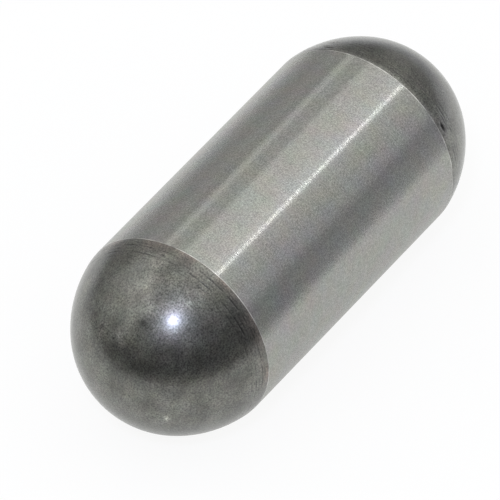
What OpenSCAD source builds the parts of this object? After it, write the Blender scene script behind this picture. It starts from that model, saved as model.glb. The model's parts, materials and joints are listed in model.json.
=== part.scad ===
// Round-ended steel pin: a ground cylindrical barrel between two turned domes.
// The pin lies along X. The origin is on its axis, halfway along the barrel, with +Z up.

/* [Barrel] */
// Ground diameter of the barrel
barrel_d = 10; // [5:0.1:18]
// Length of the cylindrical wall, from rim to rim
barrel_l = 15.4; // [2:0.1:60]

/* [Rims] */
// Length along the axis of the narrow bevel that breaks each rim
rim_bevel_l = 0.2; // [0.05:0.05:0.5]
// Slope of the dome where it leaves the rim bevel, in degrees from the axis
rim_slope = 9.5; // [4:0.5:16]

/* [Domes] */
// Height of each dome, from the end of the cylindrical wall to the tip
dome_h = 4.8; // [3:0.1:9]

/* [Hidden] */
$fn = 128;

barrel_r = barrel_d / 2;

// The bevel leans half as far as the dome that follows it
bevel_taper = tan(rim_slope / 2);
flank_start_r = barrel_r - rim_bevel_l * bevel_taper;
flank_start_h = rim_bevel_l;

// Each dome is a round nose and a flatter flank, two arcs that meet with one tangent.
// Their common normal is the long side of a 3-4-5 triangle, which keeps the meeting point exact.
meet_sin = 4 / 5;
meet_cos = 3 / 5;

// How far one unit of each arc's radius reaches across the pin and rises along it
nose_reach = meet_sin;
nose_rise = 1 - meet_cos;
flank_reach = cos(rim_slope) - meet_sin;
flank_rise = meet_cos - sin(rim_slope);

// Both arcs together reach from the flank's start to the axis and rise from it to the tip,
// two equations that fix the two radii. A form tool is ground to the nearest thousandth.
tool_step = 0.001;
function tool_radius(r) = round(r / tool_step) * tool_step;
flank_h = dome_h - flank_start_h;
arc_det = flank_rise * nose_reach - nose_rise * flank_reach;
nose_r = tool_radius((flank_rise * flank_start_r - flank_reach * flank_h) / arc_det);
flank_r = tool_radius((nose_reach * flank_h - nose_rise * flank_start_r) / arc_det);

// Heights are above the end of the cylindrical wall
nose_centre_h = dome_h - nose_r;
meet_h = nose_centre_h + nose_r * meet_cos;
flank_centre_h = meet_h - flank_r * meet_cos;
flank_centre_r = (nose_r - flank_r) * meet_sin;

steel = [0.62, 0.62, 0.60];

// Right half of a dome's section under its bevel line, which ends above the tip
module bevel_wedge() {
    top_h = dome_h + rim_bevel_l;
    polygon([
        [0, 0],
        [barrel_r, 0],
        [barrel_r - top_h * bevel_taper, top_h],
        [0, top_h]
    ]);
}

// Right half of a dome's section: flank arc up to the meeting point, nose arc above it
module dome_arcs() {
    intersection() {
        translate([flank_centre_r, flank_centre_h]) circle(r = flank_r);
        square([barrel_d, meet_h]);
    }
    intersection() {
        translate([0, nose_centre_h]) circle(r = nose_r);
        translate([0, meet_h]) square([barrel_d, dome_h]);
    }
}

module dome_section() {
    intersection() {
        bevel_wedge();
        dome_arcs();
    }
}

// Right half of the whole pin's section, with the axis upright
module pin_section() {
    translate([0, -barrel_l / 2]) square([barrel_r, barrel_l]);
    for (end = [0, 1])
        mirror([0, end]) translate([0, barrel_l / 2]) dome_section();
}

module pin() {
    color(steel) rotate([0, 90, 0]) rotate_extrude() pin_section();
}

pin();
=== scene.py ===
# %% [markdown]
# # A round-ended steel pin
# The part is one solid: a ground steel barrel with a dark domed nose at each end. It is turned from
# bar, its domes are left as the form tool and the furnace made them, and only the barrel is ground
# bright, to slide in a bore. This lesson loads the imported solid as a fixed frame, turns a finer copy of
# its section, gives the barrel and the domes their finishes, and lights them the way small steel parts
# are photographed on a white table.

import json
import math

import bmesh
import bpy
from mathutils import Matrix, Vector, noise


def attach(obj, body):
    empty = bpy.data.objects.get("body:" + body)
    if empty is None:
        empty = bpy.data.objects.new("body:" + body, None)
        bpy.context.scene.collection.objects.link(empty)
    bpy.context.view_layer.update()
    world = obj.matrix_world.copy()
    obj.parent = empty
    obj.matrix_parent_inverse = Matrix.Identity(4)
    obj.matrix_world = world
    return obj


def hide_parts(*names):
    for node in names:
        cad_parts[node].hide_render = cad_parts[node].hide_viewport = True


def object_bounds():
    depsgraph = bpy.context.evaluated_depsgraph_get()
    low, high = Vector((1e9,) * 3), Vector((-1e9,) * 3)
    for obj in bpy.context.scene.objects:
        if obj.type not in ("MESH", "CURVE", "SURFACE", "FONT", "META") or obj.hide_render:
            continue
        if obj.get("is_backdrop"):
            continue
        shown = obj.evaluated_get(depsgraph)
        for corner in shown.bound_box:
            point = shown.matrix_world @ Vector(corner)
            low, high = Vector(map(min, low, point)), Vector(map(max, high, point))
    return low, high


MM = 0.001


def in_mm(lengths):
    return [round(length / MM, 3) for length in lengths]


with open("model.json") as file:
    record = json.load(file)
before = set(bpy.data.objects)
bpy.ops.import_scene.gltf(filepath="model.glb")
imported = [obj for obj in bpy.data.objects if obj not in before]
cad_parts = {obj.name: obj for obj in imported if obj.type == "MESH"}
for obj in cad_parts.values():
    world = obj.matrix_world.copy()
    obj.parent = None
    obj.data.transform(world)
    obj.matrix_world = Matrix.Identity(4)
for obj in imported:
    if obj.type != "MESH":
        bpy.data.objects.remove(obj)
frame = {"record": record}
cad_low, cad_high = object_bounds()
print("packed box in mm:", in_mm(cad_high - cad_low))

# %% [markdown]
# ## The section
# A turned part is drawn as half of its section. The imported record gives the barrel's radius and the
# length of its wall, and the box gives the tips. Each dome leaves its rim over a narrow bevel, follows
# a flat flank arc and ends in a rounder nose arc. The outline could be traced point by point, but the
# arcs share one tangent where they meet, on a 3-4-5 triangle, so two equations give both radii and the
# dome is smooth.

# %% Measure the section
RIM_BEVEL = 0.2 * MM
RIM_SLOPE = math.radians(9.5)
MEET_SIN = 4 / 5
MEET_COS = 3 / 5

wall = frame["record"]["mounts"][0]["dims"]
barrel_r = wall["r_mm"] * MM
wall_end = wall["length_mm"] * MM / 2
tip = cad_high.x
flank_start_r = barrel_r - RIM_BEVEL * math.tan(RIM_SLOPE / 2)
flank_h = tip - (wall_end + RIM_BEVEL)

# How far one unit of each arc's radius reaches across the pin and rises along it
nose_reach = MEET_SIN
nose_rise = 1 - MEET_COS
flank_reach = math.cos(RIM_SLOPE) - MEET_SIN
flank_rise = MEET_COS - math.sin(RIM_SLOPE)
arc_det = flank_rise * nose_reach - nose_rise * flank_reach
nose_r = (flank_rise * flank_start_r - flank_reach * flank_h) / arc_det
flank_r = (nose_reach * flank_h - nose_rise * flank_start_r) / arc_det
print(f"nose radius {nose_r / MM:.3f} mm, flank radius {flank_r / MM:.3f} mm")

# %% [markdown]
# ## Turning the pin
# A lathe makes a round part by turning a section about an axis, and Blender's spin does the same. The
# section starts from a single vertex at the tip: one spin draws the nose arc, two more draw the flank
# arc, with fine steps next to the rim where the tool left its rings, and extrusions add the bevel and
# half of the barrel. A stretched half sphere would be quicker, but its curve isn't the dome's.

# %% Draw the two arcs of a dome
ACROSS = Vector((0, 1, 0))
RING_ZONE = 1.3 * MM
meet_angle = math.atan2(MEET_SIN, MEET_COS)
flank_sweep = math.pi / 2 - RIM_SLOPE - meet_angle
ring_sweep = RING_ZONE / flank_r
nose_centre = Vector((tip - nose_r, 0, 0))
flank_centre = nose_centre - (flank_r - nose_r) * Vector((MEET_COS, 0, MEET_SIN))
# Centre, sweep and number of steps of each arc, from the tip to the rim
ARCS = [
    (nose_centre, meet_angle, 36),
    (flank_centre, flank_sweep - ring_sweep, 26),
    (flank_centre, ring_sweep, 52),
]


def points_among(items):
    return [item for item in items if isinstance(item, bmesh.types.BMVert)]


pin_mesh = bmesh.new()
end = [pin_mesh.verts.new((tip, 0, 0))]
for centre, sweep, steps in ARCS:
    made = bmesh.ops.spin(pin_mesh, geom=end, cent=centre, axis=ACROSS, angle=-sweep, steps=steps)
    end = points_among(made["geom_last"])
print("flank ends in mm at", in_mm(end[0].co))

# %% [markdown]
# The bevel belongs to the dark dome. Where it meets the barrel, handling has polished the last few
# hundredths of the wall, and that edge catches the light: a lighter finish on it paints a hairline
# along the rim that is partly wear and partly a painted highlight. A pattern could paint it on, but a
# loop of narrow faces keeps it sharp from any distance. One more loop beside it keeps the barrel's
# shading straight up to there.

# %% Add the bevel and half of the barrel
RIM_STRIP = 0.04 * MM
strip_start = wall_end - RIM_STRIP
# From the rim to the middle: the strip's two edges, the loop beside it, halfway, and the middle itself
BARREL_PLACES = [wall_end, strip_start, strip_start - 2 * RIM_STRIP, wall_end / 2, 0]
for along in BARREL_PLACES:
    end = bmesh.ops.extrude_vert_indiv(pin_mesh, verts=end)["verts"]
    bmesh.ops.translate(pin_mesh, verts=end, vec=Vector((along, 0, barrel_r)) - end[0].co)
print("section points:", len(pin_mesh.verts))

# %% [markdown]
# The half section goes once round the axis, and a mirror makes the other half, so that both ends are
# the same, as on a pin that goes into its bore either way round. The doubles at the seam, the poles and
# the middle are merged, and then the faces are turned outwards, because a spin or a mirror can leave
# them inside out.

# %% Spin the section and mirror the half pin
ALONG = Vector((1, 0, 0))
FULL_TURN = 2 * math.pi
TURN_STEPS = 384
MERGE = 0.0002 * MM
section = pin_mesh.verts[:] + pin_mesh.edges[:]
bmesh.ops.spin(
    pin_mesh, geom=section, cent=(0, 0, 0), axis=ALONG, angle=FULL_TURN, steps=TURN_STEPS, use_merge=True
)
bmesh.ops.remove_doubles(pin_mesh, verts=pin_mesh.verts, dist=MERGE)
half_pin = pin_mesh.verts[:] + pin_mesh.edges[:] + pin_mesh.faces[:]
bmesh.ops.mirror(pin_mesh, geom=half_pin, matrix=Matrix.Identity(4), merge_dist=MERGE, axis="X")
bmesh.ops.remove_doubles(pin_mesh, verts=pin_mesh.verts, dist=MERGE)
bmesh.ops.recalc_face_normals(pin_mesh, faces=pin_mesh.faces)
print("faces:", len(pin_mesh.faces), "open edges:", sum(edge.is_boundary for edge in pin_mesh.edges))

# %% [markdown]
# ## Tool rings and nicks
# The form tool chattered where it left the rim, so each dome has a few shallow rings, worn through in
# places, and the far rim has two small nicks from handling. A bump in the finish could suggest them,
# but it would leave the outline whole. Here they are cut into the mesh: each point near a rim moves
# toward the axis by the depth of the mark there. The depth is also kept as a value on the mesh, so that
# the finish can darken the marks, which hold old oil.

# %% Shape the rings
# Distance from the rim along the axis and depth of each ring, in mm
RINGS = [(0.26, 0.006), (0.40, 0.014), (0.60, 0.007), (0.78, 0.014), (1.02, 0.007)]
RING_HALF_WIDTH = 0.055 * MM
# Share of a ring's depth that wear has left, and how far long and fine waves of wear move it up and down
DEPTH_LEFT = 0.30
LONG_WEAR = 1.6
FINE_WEAR = 0.5
# One turn round the rim is a circle of this radius through the noise, and fine waves are this much finer
NOISE_CIRCLE = 8
FINER = 3
# Step through the noise from one ring to the next
RING_STEP = 10


def ring_depth(past_rim, angle, seed):
    circle = NOISE_CIRCLE * Vector((math.cos(angle), math.sin(angle), 0))
    depth = 0.0
    for number, (place, deep) in enumerate(RINGS):
        off = (past_rim - place * MM) / RING_HALF_WIDTH
        if abs(off) < 1:
            spot = circle + Vector((0, 0, seed + RING_STEP * number))
            left = DEPTH_LEFT + LONG_WEAR * noise.noise(spot) + FINE_WEAR * noise.noise(FINER * spot)
            depth += deep * MM * min(1.0, max(0.0, left)) * (1 - off * off) ** 2
    return depth


print("rings on each dome:", len(RINGS))

# %% Shape the nicks
# Place along the axis in mm, angle from the top toward the front in degrees, then half width, half length
# and depth in mm
NICKS = [(8.00, 57.5, 0.11, 0.30, 0.07), (7.97, -23.5, 0.06, 0.45, 0.03)]


def nick_depth(along, angle):
    depth = 0.0
    for place, nick_angle, half_width, half_length, deep in NICKS:
        off_along = (along - place * MM) / (half_width * MM)
        off_around = (angle - math.radians(nick_angle)) * barrel_r / (half_length * MM)
        reach = off_along ** 2 + off_around ** 2
        if reach < 1:
            depth += deep * MM * (1 - reach) ** 2
    return depth


print("nicks at the far rim:", len(NICKS))

# %% Cut the rings and the nicks
# Depth at which a mark is fully dark, and the noise's starting point, whose sign tells the ends apart
FULL_MARK = 0.01 * MM
END_SEED = 40
mark = pin_mesh.verts.layers.float.new("mark")
moved = 0
for vert in pin_mesh.verts:
    past_rim = abs(vert.co.x) - wall_end
    if 0 <= past_rim < RING_ZONE:
        angle = math.atan2(-vert.co.y, vert.co.z)
        seed = math.copysign(END_SEED, vert.co.x)
        depth = ring_depth(past_rim, angle, seed) + nick_depth(vert.co.x, angle)
        vert.co -= depth * Vector((0, vert.co.y, vert.co.z)).normalized()
        vert[mark] = min(1.0, depth / FULL_MARK)
        moved += depth > 0
print("points moved:", moved)

# %% [markdown]
# ## Scuffs, stains and a painted highlight
# Where the near dome has knocked against other steel, its dark skin is rubbed thin and a little
# lighter, and stains next to the rim and elsewhere are darker. Low on the near dome, a small bright
# spot with a faint glow round it is a painted highlight. A noise would scatter such marks anywhere,
# but these have their own places. They have no depth, so the mesh only keeps how strong they are at
# each point.

# %% Note the scuffs, stains and painted highlight
# Each one: its place in mm, how far it reaches in mm, and how much lighter it is, or darker below zero
SCUFFS_STAINS_AND_HIGHLIGHT = [
    ((-8.6, 0.3, 4.8), 0.6, 0.90), ((-9.6, 0.0, 4.4), 0.6, 0.35), ((-10.4, -0.3, 3.9), 0.5, 0.75),
    # The last one in this row, a small bright spot low on the near dome, is a painted highlight
    ((-11.7, 0.1, 2.6), 0.7, 0.90), ((-11.8, 0.2, 2.5), 0.35, 1.10), ((-11.8, -2.2, -1.1), 0.25, 2.20),
    ((-9.0, -1.8, 4.3), 0.8, 0.45), ((-9.5, -2.0, 4.0), 0.25, 0.60), ((-8.1, -0.9, 4.9), 0.6, -0.50),
    ((-8.2, -2.7, 4.1), 0.7, -0.30), ((-8.2, -3.6, 3.4), 0.9, -0.50), ((-8.2, -4.3, 2.5), 0.8, -0.40),
    ((-9.3, 1.6, 4.1), 0.8, -0.30), ((-10.3, 1.4, 3.8), 0.9, -0.15), ((-11.1, -0.5, 3.3), 0.6, -0.60),
    ((-11.7, 1.4, 2.2), 1.0, 0.45), ((-10.6, 2.4, 3.0), 1.0, 0.30), ((-12.3, 0.2, 1.1), 0.8, -0.40),
    # The last one in this row is the faint glow of painted highlight round that spot
    ((-11.7, -2.6, 0.4), 0.6, -0.45), ((-9.1, -3.6, 2.9), 1.0, -0.30), ((-11.9, -1.9, -1.3), 0.7, 0.35),
]
scuff_and_highlight = pin_mesh.verts.layers.float.new("scuff_and_highlight")
for vert in pin_mesh.verts:
    for place, reach, gain in SCUFFS_STAINS_AND_HIGHLIGHT:
        near = 1 - (vert.co - MM * Vector(place)).length / (reach * MM)
        vert[scuff_and_highlight] += gain * max(0.0, near)
print("scuffed points:", sum(vert[scuff_and_highlight] != 0 for vert in pin_mesh.verts))

# %% [markdown]
# ## One object, three finishes
# The turned mesh becomes one object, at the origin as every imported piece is. Each face takes one of
# three finishes by its place along the axis. Three objects could carry them too, but the real pin is
# one piece, and one mesh shades without a seam.

# %% Make the pin an object
GROUND, RIM, DARK = range(3)
for face in pin_mesh.faces:
    face.smooth = True
    along = abs(face.calc_center_median().x)
    face.material_index = DARK if along > wall_end else RIM if along > strip_start else GROUND
pin_data = bpy.data.meshes.new("pin_finished")
pin_mesh.to_mesh(pin_data)
pin_mesh.free()
pin_finished = bpy.data.objects.new("pin_finished", pin_data)
bpy.context.scene.collection.objects.link(pin_finished)
print("triangles:", sum(len(face.vertices) - 2 for face in pin_data.polygons))

# %% [markdown]
# ## Helpers for finishes
# A finish is a small tree of nodes. These helpers add a node with its inputs, so that each finish below
# reads as a list of what the surface has. All patterns read the pin's own coordinates: they stay on the
# steel when it moves, and their marks can be given a size in mm.


# %% Helpers that add nodes
def set_inputs(tree, node, inputs):
    for socket, value in inputs.items():
        if isinstance(value, bpy.types.NodeSocket):
            tree.links.new(value, node.inputs[socket])
        else:
            node.inputs[socket].default_value = value


def add_node(tree, kind, inputs=(), **settings):
    node = tree.nodes.new(kind)
    for name, value in settings.items():
        setattr(node, name, value)
    set_inputs(tree, node, dict(inputs))
    return node


def math_node(tree, operation, one, other):
    return add_node(tree, "ShaderNodeMath", {0: one, 1: other}, operation=operation).outputs[0]


def times(tree, one, other):
    return math_node(tree, "MULTIPLY", one, other)


def plus(tree, one, other):
    return math_node(tree, "ADD", one, other)


def vector_node(tree, operation, *parts):
    return add_node(tree, "ShaderNodeVectorMath", dict(enumerate(parts)), operation=operation).outputs


def spread(tree, value, value_range, result_range):
    """The value carried from one range to another, and held at its ends."""
    inputs = {"Value": value, "From Min": value_range[0], "From Max": value_range[1]}
    inputs.update({"To Min": result_range[0], "To Max": result_range[1]})
    return add_node(tree, "ShaderNodeMapRange", inputs).outputs["Result"]


print("node helpers ready")

# %% Helpers that make patterns
# The range that most of the noise lies in
NOISE_RANGE = (0.3, 0.7)


def in_frame(tree):
    """Coordinates in the pin's frame, which the pieces of the stage share."""
    return add_node(tree, "ShaderNodeTexCoord").outputs["Object"]


def coordinate(tree, place, axis):
    return add_node(tree, "ShaderNodeSeparateXYZ", {0: place}).outputs[axis]


def noise_node(tree, size, detail=2.0):
    """Noise with marks of about this size in mm, one size or one for each axis."""
    sides = size if isinstance(size, tuple) else (size,) * 3
    repeats = [1 / (side * MM) for side in sides]
    place = add_node(tree, "ShaderNodeMapping", {"Vector": in_frame(tree), "Scale": repeats})
    inputs = {"Vector": place.outputs["Vector"], "Scale": 1.0, "Detail": detail}
    return add_node(tree, "ShaderNodeTexNoise", inputs).outputs


def mottle(tree, size, levels, detail=2.0):
    """A level that wanders between two levels."""
    return spread(tree, noise_node(tree, size, detail)["Fac"], NOISE_RANGE, levels)


def oiled(tree, colour, size, amount):
    """The colour under faint clouds of other tints."""
    cloud = noise_node(tree, size)["Color"]
    tints = vector_node(tree, "MULTIPLY_ADD", cloud, (amount,) * 3, (1 - amount / 2,) * 3)["Vector"]
    return vector_node(tree, "MULTIPLY", tints, colour)["Vector"]


def shaded(tree, colour, level):
    """The colour made darker or lighter by a level."""
    scale = add_node(tree, "ShaderNodeVectorMath", {0: colour, "Scale": level}, operation="SCALE")
    return scale.outputs["Vector"]


def bumped(tree, height, strength, depth):
    bump = add_node(tree, "ShaderNodeBump", {"Height": height, "Strength": strength, "Distance": depth})
    return bump.outputs["Normal"]


def metal(name):
    """A new metal on the pin: its tree and its shader."""
    material = bpy.data.materials.new(name)
    material.use_nodes = True
    tree = material.node_tree
    shader = tree.nodes["Principled BSDF"]
    set_inputs(tree, shader, {"Metallic": 1.0})
    pin_data.materials.append(material)
    return tree, shader


print("pattern helpers ready")

# %% [markdown]
# ## The ground barrel
# A centreless grinder leaves fine lines around the barrel. They scatter light along the pin and hardly
# at all across it, so the room shows as long streaks with crisp sides. Thousands of modelled lines
# would be too many, so an anisotropic shader does this, with its tangent turned along the axis. A fine
# speckle breaks the streaks up, and a trace of oil gives them faint tints.

# %% Colour the ground barrel
GROUND_COLOUR = (0.351, 0.352, 0.332)
# Sizes of marks in a finish are in mm
OIL_CLOUD = 1.2
OIL_TINT = 0.18
SPECKLE = 0.07
SPECKLE_LEVELS = (0.75, 1.25)
tree, shader = metal("ground_steel")
oily_steel = oiled(tree, GROUND_COLOUR, OIL_CLOUD, OIL_TINT)
speckle = mottle(tree, SPECKLE, SPECKLE_LEVELS)
set_inputs(tree, shader, {"Base Color": shaded(tree, oily_steel, speckle)})
print("barrel colour has", len(tree.nodes), "nodes")

# %% Give the barrel its grinding lines
# Size of a line along the pin and across it
GRIND_LINE = (0.009, 0.8, 0.8)
GRIND_DEPTH = 0.003 * MM
GLINT = 0.06
GLINT_ROUGHNESS = (0.13, 0.27)
QUARTER_TURN = 0.25
lines = noise_node(tree, GRIND_LINE, 0.0)["Fac"]
lay = add_node(tree, "ShaderNodeTangent", direction_type="RADIAL", axis="X")
set_inputs(tree, shader, {
    "Normal": bumped(tree, lines, 1.0, GRIND_DEPTH),
    "Tangent": lay.outputs["Tangent"],
    "Roughness": mottle(tree, GLINT, GLINT_ROUGHNESS),
    "Anisotropic": 1.0,
    "Anisotropic Rotation": QUARTER_TURN,
})
print("barrel finish has", len(tree.nodes), "nodes")

# %% [markdown]
# ## The polished rim and its painted highlight
# The hairline at each rim is bare steel that handling has rubbed bright, more in some places than in
# others, and its lighter colour also paints the highlight where the edge catches the light. It is too
# narrow to show any lines, so a lighter steel with a broad mottle is enough.

# %% Polish the rim strip and paint its highlight
# A lighter steel than the barrel's: partly wear, partly a painted highlight along the edge
RIM_WEAR_AND_HIGHLIGHT_COLOUR = (0.60, 0.59, 0.57)
RIM_ROUGHNESS = 0.30
RIM_WEAR = 0.5
RIM_WEAR_LEVELS = (0.40, 1.20)
tree, shader = metal("polished_rim_and_highlight")
worn_and_highlight = shaded(tree, RIM_WEAR_AND_HIGHLIGHT_COLOUR, mottle(tree, RIM_WEAR, RIM_WEAR_LEVELS))
set_inputs(tree, shader, {"Base Color": worn_and_highlight, "Roughness": RIM_ROUGHNESS})
print("rim finish has", len(tree.nodes), "nodes")

# %% [markdown]
# ## The dark domes
# The domes keep the dark skin of the furnace under a trace of oil. The skin is cloudy and finely
# granular, with a few pits, and on the near dome it is brownish next to the rim, where it grew thin.
# The rings and the nicks are darker still. One dark colour would look like paint, so each of these
# marks gives a level, and the levels are multiplied. The oil is a thin clear coat, which gives the lamp
# its sharp core inside a wide soft halo.

# %% Colour the dark domes
DOME_COLOUR = (0.138, 0.139, 0.122)
BROWN_COLOUR = (0.185, 0.145, 0.125)
# Places along the pin, past the near rim, between which the brown sets in
BROWN_ZONE = (-wall_end - 0.7 * MM, -wall_end - 0.1 * MM)
BROWN_CLOUD = 1.5
# Shares of brown in its clouds, with none where the share is below zero
BROWN_SHARES = (-0.3, 1.0)
SKIN_OIL_CLOUD = 0.7
SKIN_OIL_TINT = 0.16
tree, shader = metal("dark_steel")
along = coordinate(tree, in_frame(tree), "X")
near_rim = spread(tree, along, BROWN_ZONE, (0.0, 1.0))
near_end = spread(tree, along, (-wall_end, wall_end), (1.0, 0.0))
browned = times(tree, times(tree, near_rim, near_end), mottle(tree, BROWN_CLOUD, BROWN_SHARES))
# Inputs 6 and 7 and output 2 of this node are its colours
colours = {0: browned, 6: (*DOME_COLOUR, 1), 7: (*BROWN_COLOUR, 1)}
skin = add_node(tree, "ShaderNodeMix", colours, data_type="RGBA").outputs[2]
oily_skin = oiled(tree, skin, SKIN_OIL_CLOUD, SKIN_OIL_TINT)
print("skin colour has", len(tree.nodes), "nodes")

# %% Mark the skin
GRAIN = 0.075
GRAIN_LEVELS = (0.38, 1.62)
CLOUD = 1.0
CLOUD_LEVELS = (0.64, 1.36)
CLOUD_DETAIL = 5.0
PIT_SPACING = 0.55 * MM
# Distances from a pit's middle, as shares of the spacing, over which it fades into the skin
PIT_EDGE = (0.05, 0.14)
PIT_LEVEL = 0.45
MARK_LEVEL = 0.25
SCUFF_AND_HIGHLIGHT_GRAIN = 0.25
SCUFF_AND_HIGHLIGHT_SHARES = (0.4, 1.6)


def kept_on_mesh(tree, name):
    return add_node(tree, "ShaderNodeAttribute", attribute_name=name).outputs["Fac"]


pits = add_node(tree, "ShaderNodeTexVoronoi", {"Vector": in_frame(tree), "Scale": 1 / PIT_SPACING})
# Scuffs, stains and the painted highlight, broken up by a coarse grain
scuffs_and_highlight = times(tree, kept_on_mesh(tree, "scuff_and_highlight"), mottle(tree, SCUFF_AND_HIGHLIGHT_GRAIN, SCUFF_AND_HIGHLIGHT_SHARES))
skin_level = mottle(tree, GRAIN, GRAIN_LEVELS)
for level in (
    mottle(tree, CLOUD, CLOUD_LEVELS, CLOUD_DETAIL),
    spread(tree, pits.outputs["Distance"], PIT_EDGE, (PIT_LEVEL, 1.0)),
    spread(tree, kept_on_mesh(tree, "mark"), (0.0, 1.0), (1.0, MARK_LEVEL)),
    plus(tree, scuffs_and_highlight, 1.0),
):
    skin_level = times(tree, skin_level, level)
print("marked skin has", len(tree.nodes), "nodes")

# %% Oil the skin
SAND = 0.05
SAND_STRENGTH = 0.4
SAND_DEPTH = 0.018 * MM
DULL_CLOUD = 1.2
DULL_ROUGHNESS = (0.32, 0.39)
EDGE_GLOSS = 0.58
OIL_ROUGHNESS = 0.205
OIL_IOR = 1.6
set_inputs(tree, shader, {
    "Base Color": shaded(tree, oily_skin, skin_level),
    "Normal": bumped(tree, noise_node(tree, SAND)["Fac"], SAND_STRENGTH, SAND_DEPTH),
    "Roughness": mottle(tree, DULL_CLOUD, DULL_ROUGHNESS),
    "Specular Tint": (EDGE_GLOSS, EDGE_GLOSS, EDGE_GLOSS, 1),
    "Coat Weight": 1.0,
    "Coat Roughness": OIL_ROUGHNESS,
    "Coat IOR": OIL_IOR,
})
print("dome finish has", len(tree.nodes), "nodes")

# %% [markdown]
# ## In the frame
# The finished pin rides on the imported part's one body and stands for its solid, which the picture then
# hides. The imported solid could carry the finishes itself, but its mesh is too coarse for the rings.

# %% Put the finished pin in the frame
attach(pin_finished, "root")
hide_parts("pin")
print("pin_finished stands for the packed pin")

# %% [markdown]
# ## The camera
# The pin's outline gives the view: a long lens, about forty degrees above the table, with the near dome
# low on the left. The barrel's radius and the pin's centre in the picture, in pixels, set the lens and
# the aim. A lens shift could place the pin in the picture too, but it would stay on in every other
# view.

# %% Place the camera
PICTURE_SIDE_PX = 500
BARREL_RADIUS_PX = 109.5
PIN_CENTRE_PX = (269.8, 234.2)
VIEW_AZIMUTH = math.radians(-146.6)
VIEW_HEIGHT = math.radians(42.45)
VIEW_DISTANCE = 100 * barrel_r


def direction(azimuth, height):
    """Unit vector at an angle from +X toward +Y and an angle above the table."""
    flat = math.cos(height)
    return Vector((flat * math.cos(azimuth), flat * math.sin(azimuth), math.sin(height)))


to_camera = direction(VIEW_AZIMUTH, VIEW_HEIGHT)
turn = to_camera.to_track_quat("Z", "Y")
picture_px = barrel_r / BARREL_RADIUS_PX
right_px = PIN_CENTRE_PX[0] - PICTURE_SIDE_PX / 2
up_px = PICTURE_SIDE_PX / 2 - PIN_CENTRE_PX[1]
aim = -picture_px * (turn @ Vector((right_px, up_px, 0)))
lens_data = bpy.data.cameras.new("camera")
lens_data.lens = lens_data.sensor_width * VIEW_DISTANCE / (picture_px * PICTURE_SIDE_PX)
camera = bpy.data.objects.new("camera", lens_data)
camera.location = aim + VIEW_DISTANCE * to_camera
camera.rotation_euler = turn.to_euler()
bpy.context.scene.collection.objects.link(camera)
bpy.context.scene.camera = camera
print("lens in mm:", round(lens_data.lens, 1))

# %% [markdown]
# ## The table
# A white table fills the picture. The camera sees it mostly as a plain white, the steel mirrors a
# smaller and warmer share of that white, and the rest is a true matt surface, which keeps the soft
# shadow under the pin. More lamps could whiten a matt table too, but they would flood the steel.


# %% Helpers for the stage
def stage_piece(name, stage_mesh):
    """A piece of the stage, and the empty tree of its material."""
    data = bpy.data.meshes.new(name)
    stage_mesh.to_mesh(data)
    stage_mesh.free()
    piece = bpy.data.objects.new(name, data)
    bpy.context.scene.collection.objects.link(piece)
    piece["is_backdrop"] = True
    material = bpy.data.materials.new(name)
    material.use_nodes = True
    material.node_tree.nodes.clear()
    data.materials.append(material)
    return piece, material.node_tree


def show(tree, shader):
    output = add_node(tree, "ShaderNodeOutputMaterial")
    tree.links.new(shader.outputs[0], output.inputs["Surface"])


def glow_node(tree, colour, strength):
    return add_node(tree, "ShaderNodeEmission", {"Color": colour, "Strength": strength})


print("stage helpers ready")

# %% Lay the table
WHITE = (1, 1, 1)
TABLE_HALF = 1.5
TABLE_Z = -barrel_r
TABLE_COLOUR = (0.85, 0.85, 0.825)
# Shares of plain white in the table that the camera and the steel see
WHITE_TO_CAMERA = 0.9
WHITE_TO_STEEL = 0.5
# What the steel's view of that white loses in red, green and blue
STEEL_SEES_LESS = (-0.05, -0.05, -0.105)
table_mesh = bmesh.new()
bmesh.ops.create_grid(table_mesh, x_segments=1, y_segments=1, size=TABLE_HALF)
bmesh.ops.translate(table_mesh, verts=table_mesh.verts, vec=(0, 0, TABLE_Z))
table, tree = stage_piece("white_table", table_mesh)
path = add_node(tree, "ShaderNodeLightPath").outputs
mirrored = plus(tree, path["Is Glossy Ray"], path["Is Transmission Ray"])
pale = vector_node(tree, "MULTIPLY_ADD", mirrored, STEEL_SEES_LESS, WHITE)["Vector"]
white = glow_node(tree, pale, 1.0).outputs[0]
matt = add_node(tree, "ShaderNodeBsdfDiffuse", {"Color": (*TABLE_COLOUR, 1)}).outputs[0]
seen_white = times(tree, path["Is Camera Ray"], WHITE_TO_CAMERA)
share = plus(tree, seen_white, times(tree, mirrored, WHITE_TO_STEEL))
show(tree, add_node(tree, "ShaderNodeMixShader", {0: share, 1: matt, 2: white}))
print(table.name, "at z in mm:", round(TABLE_Z / MM, 2))

# %% [markdown]
# ## The light tent
# Bright steel shows only what is around it, so a photographer builds the surroundings: a tent with a
# lit roof over the pin and dimmer walls. The tent here is half a sphere that only reflections see. Area
# lights could take its place, but they would light the table as well, and its shadow would go.

# %% Build the light tent
TENT_R = 0.6
TENT_SEGMENTS = 64


def only_reflected(piece):
    piece.visible_camera = False
    piece.visible_diffuse = False
    piece.visible_shadow = False
    piece.visible_transmission = False


tent_mesh = bmesh.new()
bmesh.ops.create_uvsphere(
    tent_mesh, u_segments=TENT_SEGMENTS, v_segments=TENT_SEGMENTS // 2, radius=TENT_R
)
whole_tent = tent_mesh.verts[:] + tent_mesh.edges[:] + tent_mesh.faces[:]
bmesh.ops.bisect_plane(
    tent_mesh, geom=whole_tent, plane_co=(0, 0, TABLE_Z), plane_no=(0, 0, -1), clear_outer=True
)
tent, tree = stage_piece("light_tent", tent_mesh)
only_reflected(tent)
print("tent faces:", len(tent.data.polygons))

# %% [markdown]
# The steel mirrors a place of the tent into the picture where it faces halfway between that place and
# the camera. The tent's light follows the angle of that facing, so the stops below are the barrel's
# streaks in their order, from its back over its top to its front. The roof is a little warm and the
# front wall a little cool. Along the pin, the light grows from the near end toward the far one and then
# drops.


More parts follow.
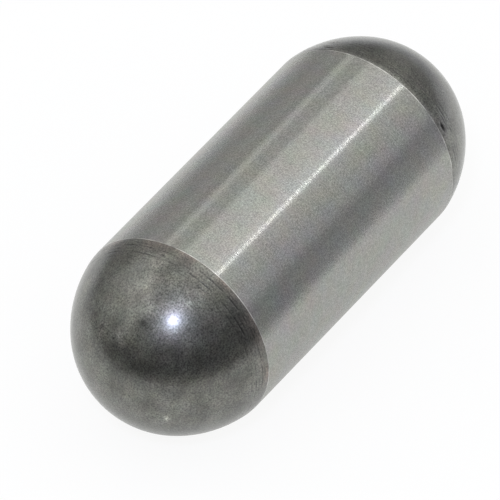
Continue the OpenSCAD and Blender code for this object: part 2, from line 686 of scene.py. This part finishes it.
# %% Helpers for light that changes from place to place
def tinted(stops, colour=WHITE):
    """Stops of a place and a level, with the level made a colour."""
    return [(place, [level * part for part in colour]) for place, level in stops]


def light_ramp(tree, value, stops, unit, zero=0.0):
    """Light by a value, from stops that each have a place, in units from zero, and a colour."""
    low = stops[0][0]
    high = stops[-1][0]
    share = spread(tree, value, (zero + low * unit, zero + high * unit), (0.0, 1.0))
    ramp = add_node(tree, "ShaderNodeValToRGB", {0: share})
    elements = ramp.color_ramp.elements
    # A new stop starts halfway, and then all stops get their places
    while len(elements) < len(stops):
        elements.new(0.5)
    for element, (place, colour) in zip(elements, stops):
        element.position = (place - low) / (high - low)
        element.color = [*colour, 1]
    return ramp.outputs["Color"]


print("light helpers ready")

# %% Light the roof and the walls
# Angle of the facing in degrees, from the barrel's top toward its front, and the light that it mirrors
ROOF_COLOUR = (1.0, 0.998, 0.975)
ROOF_LIGHT = [
    (-50, 0.43), (-30, 0.47), (-22, 0.48), (-15, 0.62), (-9, 0.60), (-7.6, 0.90), (-5.0, 1.12),
    (-3.6, 0.84), (3.5, 0.88), (6, 1.32), (14, 1.37), (23, 1.53), (27, 1.18), (31, 1.11), (38, 1.10),
]
FRONT_COLOUR = (0.965, 0.970, 1.01)
FRONT_LIGHT = [(43, 1.13), (48, 1.04), (52, 0.74), (55, 0.62), (66, 0.68), (90, 0.49)]
# Place along the pin as a share of the tent's radius, and the share of light there
END_LIGHT = [
    (-1.0, 0.20), (-0.7, 0.30), (-0.45, 0.44), (-0.2, 0.60), (0.1, 0.76), (0.4, 1.0), (0.66, 1.10),
    (0.74, 0.72), (0.80, 0.35), (0.86, 0.28), (1.0, 0.33),
]
facing = vector_node(tree, "ADD", in_frame(tree), TENT_R * to_camera)["Vector"]
facing_front = times(tree, coordinate(tree, facing, "Y"), -1.0)
facing_angle = math_node(tree, "ARCTAN2", facing_front, coordinate(tree, facing, "Z"))
tent_stops = tinted(ROOF_LIGHT, ROOF_COLOUR) + tinted(FRONT_LIGHT, FRONT_COLOUR)
tent_light = light_ramp(tree, facing_angle, tent_stops, math.radians(1))
end_light = light_ramp(tree, coordinate(tree, in_frame(tree), "X"), tinted(END_LIGHT), TENT_R)
print("tent light stops:", len(tent_stops), "and", len(END_LIGHT))

# %% [markdown]
# A tent needs an opening for the photographer. It is a wide soft patch of less light, low at the front.

# %% Open the tent at the front
OPENING_WAY = Vector((-0.10, -0.96, 0.26)).normalized()
# Angles from that way between which the light fades, and the share of it that is left inside
OPENING_EDGE = (math.radians(52), math.radians(26))
OPENING_LIGHT = 0.45
toward_opening = vector_node(tree, "DOT_PRODUCT", in_frame(tree), OPENING_WAY / TENT_R)["Value"]
opening_edge = [math.cos(angle) for angle in OPENING_EDGE]
opening = spread(tree, toward_opening, opening_edge, (1.0, OPENING_LIGHT))
show(tree, glow_node(tree, tent_light, times(tree, end_light, opening)))
print("tent light has", len(tree.nodes), "nodes")

# %% [markdown]
# ## The softbox
# A softbox stands behind the near end and lights the upper side of the near dome. It is a flat square
# that only reflections see, and it is brighter toward its top, as a box with its lamp there would be.


# %% A helper for flat lamps
def flat_lamp(name, half_sides, turn, centre):
    """A flat piece of the stage that only reflections see, and the empty tree of its material."""
    lamp_mesh = bmesh.new()
    bmesh.ops.create_grid(lamp_mesh, x_segments=1, y_segments=1, size=1.0)
    bmesh.ops.scale(lamp_mesh, verts=lamp_mesh.verts, vec=(*half_sides, 1))
    bmesh.ops.transform(lamp_mesh, matrix=turn.to_4x4(), verts=lamp_mesh.verts)
    bmesh.ops.translate(lamp_mesh, verts=lamp_mesh.verts, vec=centre)
    piece, tree = stage_piece(name, lamp_mesh)
    only_reflected(piece)
    return piece, tree


print("lamp helper ready")

# %% Stand the softbox
SOFTBOX_WAY = Vector((-0.42, 0.70, 0.58))
SOFTBOX_DISTANCE = 0.4
SOFTBOX_HALF = 0.22
SOFTBOX_COLOUR = (1, 1, 0.98)
# Light at the softbox's lower and upper edge
SOFTBOX_LIGHT = (0.45, 1.70)
softbox_turn = SOFTBOX_WAY.to_track_quat("Z", "Y").to_matrix()
softbox_centre = SOFTBOX_DISTANCE * SOFTBOX_WAY
softbox, tree = flat_lamp("softbox", (SOFTBOX_HALF, SOFTBOX_HALF), softbox_turn, softbox_centre)
heights = [vert.co.z for vert in softbox.data.vertices]
height = coordinate(tree, in_frame(tree), "Z")
softbox_light = spread(tree, height, (min(heights), max(heights)), SOFTBOX_LIGHT)
show(tree, glow_node(tree, (*SOFTBOX_COLOUR, 1), softbox_light))
print("softbox from", round(min(heights), 3), "to", round(max(heights), 3), "m above the axis")

# %% [markdown]
# ## The strip lamp
# A narrow strip lamp hangs along the pin. The barrel shows it as one thin bright line, and the domes
# look past it. One narrow stop in the tent's light could draw that line, but the domes would show it
# too.

# %% Hang the strip lamp
STRIP_CENTRE = Vector((0.308, -0.143, 0.367))
STRIP_HALF_SIDES = (0.10, 0.005)
STRIP_LIGHT = 8.8
strip_turn = Matrix.Rotation(math.atan2(STRIP_CENTRE.y, -STRIP_CENTRE.z), 3, "X")
strip, tree = flat_lamp("strip_lamp", STRIP_HALF_SIDES, strip_turn, STRIP_CENTRE)
show(tree, glow_node(tree, (*WHITE, 1), STRIP_LIGHT))
print(strip.name, "sides in mm:", in_mm(2 * side for side in STRIP_HALF_SIDES))

# %% [markdown]
# ## The collar
# A low dim collar stands round the pin. It hides the far table from the steel, so the white at the
# pin's foot stops a few centimetres away, and the domes get their dark band. A darker table would give
# the band too, but the camera sees the table. The collar is an oval wall, extruded from a circle.

# %% Stand the collar round the pin
COLLAR_CENTRE = Vector((6.5, 12, 0)) * MM
COLLAR_REACH = Vector((38, 45, 1)) * MM
COLLAR_SEGMENTS = 96
COLLAR_HEIGHT = 9 * MM
collar_mesh = bmesh.new()
bmesh.ops.create_circle(collar_mesh, segments=COLLAR_SEGMENTS, radius=1.0)
bmesh.ops.scale(collar_mesh, verts=collar_mesh.verts, vec=COLLAR_REACH)
bmesh.ops.translate(collar_mesh, verts=collar_mesh.verts, vec=COLLAR_CENTRE + Vector((0, 0, TABLE_Z)))
collar_wall = bmesh.ops.extrude_edge_only(collar_mesh, edges=collar_mesh.edges[:])["geom"]
bmesh.ops.translate(collar_mesh, verts=points_among(collar_wall), vec=(0, 0, COLLAR_HEIGHT))
collar, tree = stage_piece("dim_collar", collar_mesh)
only_reflected(collar)
print("collar faces:", len(collar.data.polygons))

# %% Light the collar
COLLAR_COLOUR = (0.96, 0.965, 1.01)
# Height above the table in mm and the light there
COLLAR_LIGHT = [(0.0, 0.62), (1.5, 0.46), (3.5, 0.36), (9.0, 0.36)]
# The way toward the collar's brighter side, and the share of light at places along it in mm
COLLAR_BRIGHT_WAY = Vector((0.92, 0.38, 0))
COLLAR_SIDE_LIGHT = [
    (-28, 0.33), (-22, 0.42), (-13, 0.70), (0, 1.14), (14, 1.52), (26, 2.2), (32, 2.2), (40, 1.72),
    (46, 1.68),
]
height = coordinate(tree, in_frame(tree), "Z")
collar_light = light_ramp(tree, height, tinted(COLLAR_LIGHT, COLLAR_COLOUR), MM, TABLE_Z)
toward_bright = vector_node(tree, "DOT_PRODUCT", in_frame(tree), COLLAR_BRIGHT_WAY)["Value"]
side_light = light_ramp(tree, toward_bright, tinted(COLLAR_SIDE_LIGHT), MM)
show(tree, glow_node(tree, collar_light, side_light))
print("collar light stops:", len(COLLAR_LIGHT), "and", len(COLLAR_SIDE_LIGHT))

# %% [markdown]
# ## The lamp and the sky
# A small bluish lamp beside the camera gives the hot spot on the near dome. A round area light makes a
# clean spot, and the oil and the rough skin under it turn that into a core with a halo. A plain white
# sky lights the table.

# %% Place the lamp
LAMP_AZIMUTH = math.radians(206.8)
LAMP_HEIGHT = math.radians(51.4)
LAMP_DISTANCE = 0.5
LAMP_SIZE = 0.062
LAMP_POWER = 0.86
LAMP_COLOUR = (0.70, 0.74, 1.0)
lamp_data = bpy.data.lights.new("camera_lamp", "AREA")
lamp_data.shape = "DISK"
lamp_data.size = LAMP_SIZE
lamp_data.energy = LAMP_POWER
lamp_data.color = LAMP_COLOUR
lamp = bpy.data.objects.new("camera_lamp", lamp_data)
to_lamp = direction(LAMP_AZIMUTH, LAMP_HEIGHT)
lamp.location = LAMP_DISTANCE * to_lamp
lamp.rotation_euler = to_lamp.to_track_quat("Z", "Y").to_euler()
bpy.context.scene.collection.objects.link(lamp)
print("lamp in mm at", in_mm(lamp.location))

# %% Set the sky
sky = bpy.data.worlds.new("white_sky")
sky.use_nodes = True
set_inputs(sky.node_tree, sky.node_tree.nodes["Background"], {"Color": (*WHITE, 1), "Strength": 1.0})
bpy.context.scene.world = sky
bpy.context.scene.view_settings.view_transform = "Standard"
print("sky:", sky.name)

# %% [markdown]
# ## The sizes
# A finish must not change the size of a part that has to fit a bore. The last cell prints the
# finished pin's box, as the first cell printed the packed one.

# %% Print the finished pin's box
new_low, new_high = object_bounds()
print("visual box in mm:", in_mm(new_high - new_low))
